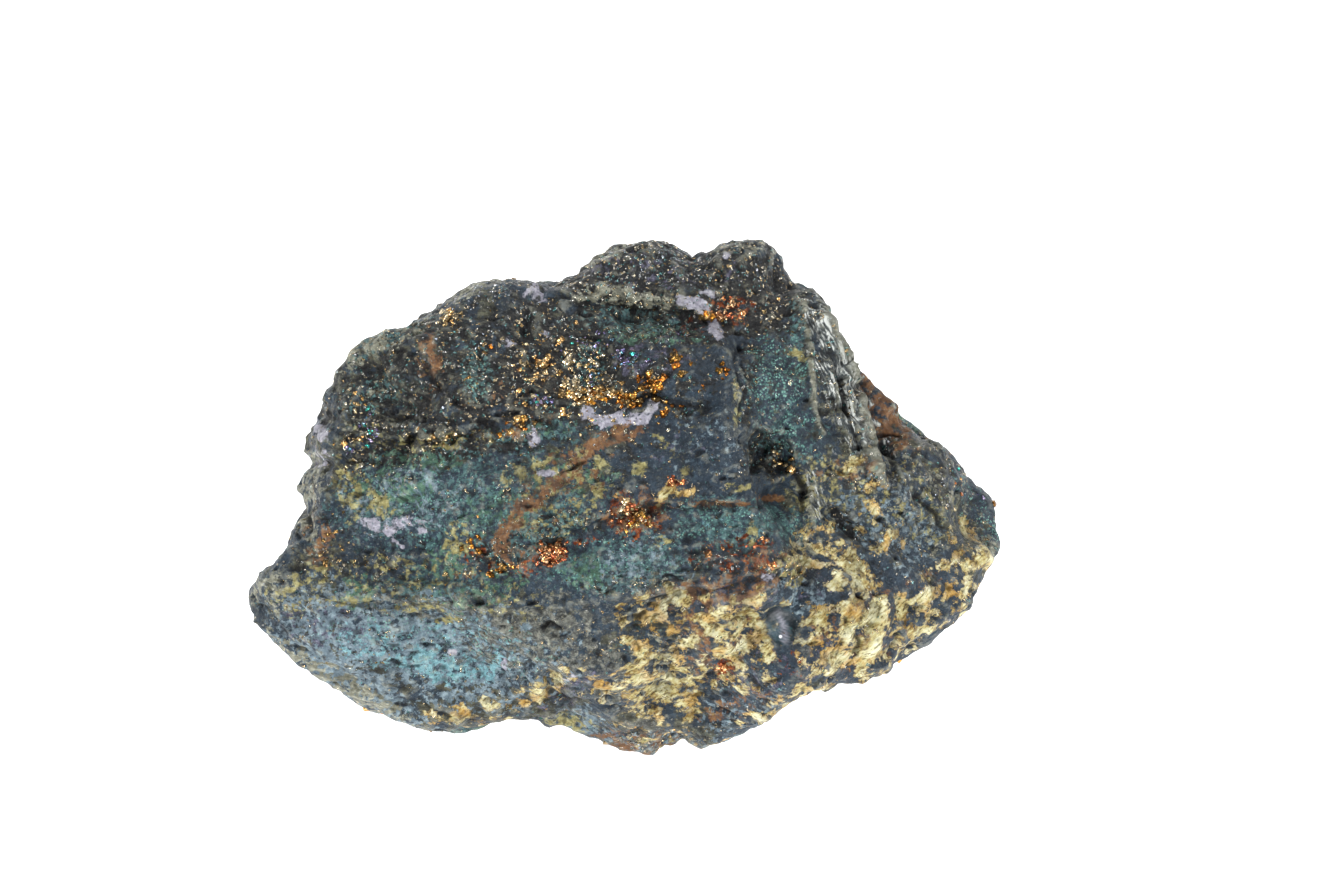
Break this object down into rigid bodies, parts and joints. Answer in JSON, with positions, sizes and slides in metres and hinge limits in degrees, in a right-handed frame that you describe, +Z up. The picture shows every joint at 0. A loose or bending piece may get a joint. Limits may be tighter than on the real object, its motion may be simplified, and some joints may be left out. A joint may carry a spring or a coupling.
{
  "type": "chalcopyrite specimen",
  "caption": "Hand-sized lump of massive copper ore with broken faces, ledges and pits, tarnished blue, teal and gold, lying on a flat broken face.",
  "frame": {"origin": "a point on the flat face that the lump lies on, under the middle of its broad face", "axes": "+X to the right across the broad face, +Y away from the viewer and up the broad face, +Z up"},
  "size_m": [0.0902, 0.0603, 0.0367],
  "materials": {
    "tarnished_sulphide": "rough tarnished sulphide: slate and teal films over brass-yellow metal, with gold, orange and violet grains and pale quartz streaks"
  },
  "bodies": {
    "root": {"ore_lump": "tarnished_sulphide"}
  },
  "joints": []
}
